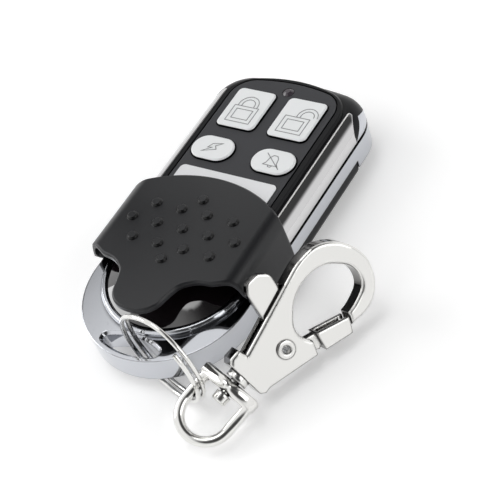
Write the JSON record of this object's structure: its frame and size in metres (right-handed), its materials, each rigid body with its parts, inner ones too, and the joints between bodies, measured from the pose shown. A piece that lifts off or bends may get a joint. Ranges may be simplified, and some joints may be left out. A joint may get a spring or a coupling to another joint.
{
  "type": "cloning remote control",
  "caption": "Palm-sized hand-held transmitter with four sprung keys under a sliding cover, a chromed frame with a key slot, a split ring and a swivel clasp.",
  "frame": {"origin": "centre of the body's footprint on the flat back of the battery cover", "axes": "+X across the body to the unlock key side, +Y along the body to the lamp end, +Z out of the key face"},
  "size_m": [0.0594, 0.0864, 0.0219],
  "materials": {
    "case_black": "fine moulded grain",
    "slider_black": "satin moulded",
    "panel_black": "fine moulded grain",
    "frame_chrome": "bright plated",
    "rail_chrome": "bright plated",
    "trim_silver": "satin",
    "key_silver": "satin silver coat with raised symbols",
    "dome_black": "high gloss",
    "lamp_red": "clear tinted",
    "nickel": "bright nickel plate",
    "spring_steel": "plain",
    "board_green": "lacquered laminate",
    "chip_black": "moulded with tinned legs",
    "tin": "tinned",
    "plunger_black": "plain",
    "cell_jacket": "plain shrink jacket",
    "contact_nickel": "nickel plated strip",
    "screw_steel": "zinc plated",
    "resistor": "plain"
  },
  "bodies": {
    "case": {"rear_frame": "frame_chrome", "top_insert": "case_black", "back_cover": "case_black", "side_rail_right": "rail_chrome", "side_rail_left": "rail_chrome", "front_shell": "case_black", "key_panel": "panel_black", "trim_plate": "trim_silver", "switch_bodies": "tin", "circuit_board": "board_green", "code_chip": "chip_black", "memory_chip": "chip_black", "chip_resistors": "resistor", "resonator_can": "tin", "aerial_loop": "tin", "status_lamp": "lamp_red", "battery_cell": "cell_jacket", "contact_plus": "contact_nickel", "contact_minus": "contact_nickel", "case_screws": "screw_steel", "end_bezel": "frame_chrome", "end_dome": "dome_black"},
    "key_lock_body": {"key_lock": "key_silver", "plunger_lock": "plunger_black"},
    "key_unlock_body": {"key_unlock": "key_silver", "plunger_unlock": "plunger_black"},
    "key_bolt_body": {"key_bolt": "key_silver", "plunger_bolt": "plunger_black"},
    "key_mute_body": {"key_mute": "key_silver", "plunger_mute": "plunger_black"},
    "slider": {"slider_cover": "slider_black"},
    "ring": {"split_ring": "nickel"},
    "eye": {"swivel_eye": "nickel"},
    "clasp": {"swivel_post": "nickel", "clasp_body": "nickel", "lever_rivet": "nickel", "lever_spring": "spring_steel"},
    "lever": {"clasp_lever": "nickel"}
  },
  "joints": [
    {"name": "cover_slide", "type": "slide", "parent": "case", "child": "slider", "axis": [0, 1, 0], "range_m": [0, 0.0285]},
    {"name": "press_lock", "type": "slide", "parent": "case", "child": "key_lock_body", "axis": [0, 0, -1], "range_m": [0, 0.0004], "stiffness_N_per_m": 4000, "springref_m": -0.0003},
    {"name": "press_unlock", "type": "slide", "parent": "case", "child": "key_unlock_body", "axis": [0, 0, -1], "range_m": [0, 0.0004], "stiffness_N_per_m": 4000, "springref_m": -0.0003},
    {"name": "press_bolt", "type": "slide", "parent": "case", "child": "key_bolt_body", "axis": [0, 0, -1], "range_m": [0, 0.0004], "stiffness_N_per_m": 4000, "springref_m": -0.0003},
    {"name": "press_mute", "type": "slide", "parent": "case", "child": "key_mute_body", "axis": [0, 0, -1], "range_m": [0, 0.0004], "stiffness_N_per_m": 4000, "springref_m": -0.0003},
    {"name": "ring_swing", "type": "hinge", "parent": "case", "child": "ring", "pos_m": [0.0056, -0.0363, 0.00525], "axis": [0.9404, 0.3401, 0], "range_deg": [-4, 12]},
    {"name": "eye_swing", "type": "hinge", "parent": "ring", "child": "eye", "pos_m": [0.01917, -0.03935, 0.00609], "axis": [0.4513, -0.1294, 0.8829], "range_deg": [-15, 10]},
    {"name": "swivel_turn", "type": "hinge", "parent": "eye", "child": "clasp", "pos_m": [0.02368, -0.03596, 0.00613], "axis": [0.3032, 0.9308, 0.204], "range_deg": [-20, 180]},
    {"name": "lever_open", "type": "hinge", "parent": "clasp", "child": "lever", "pos_m": [0.02875, -0.02452, 0.00641], "axis": [0.7955, -0.3651, 0.4836], "range_deg": [0, 25], "stiffness_Nm_per_rad": 0.02, "springref_deg": -20.05}
  ]
}
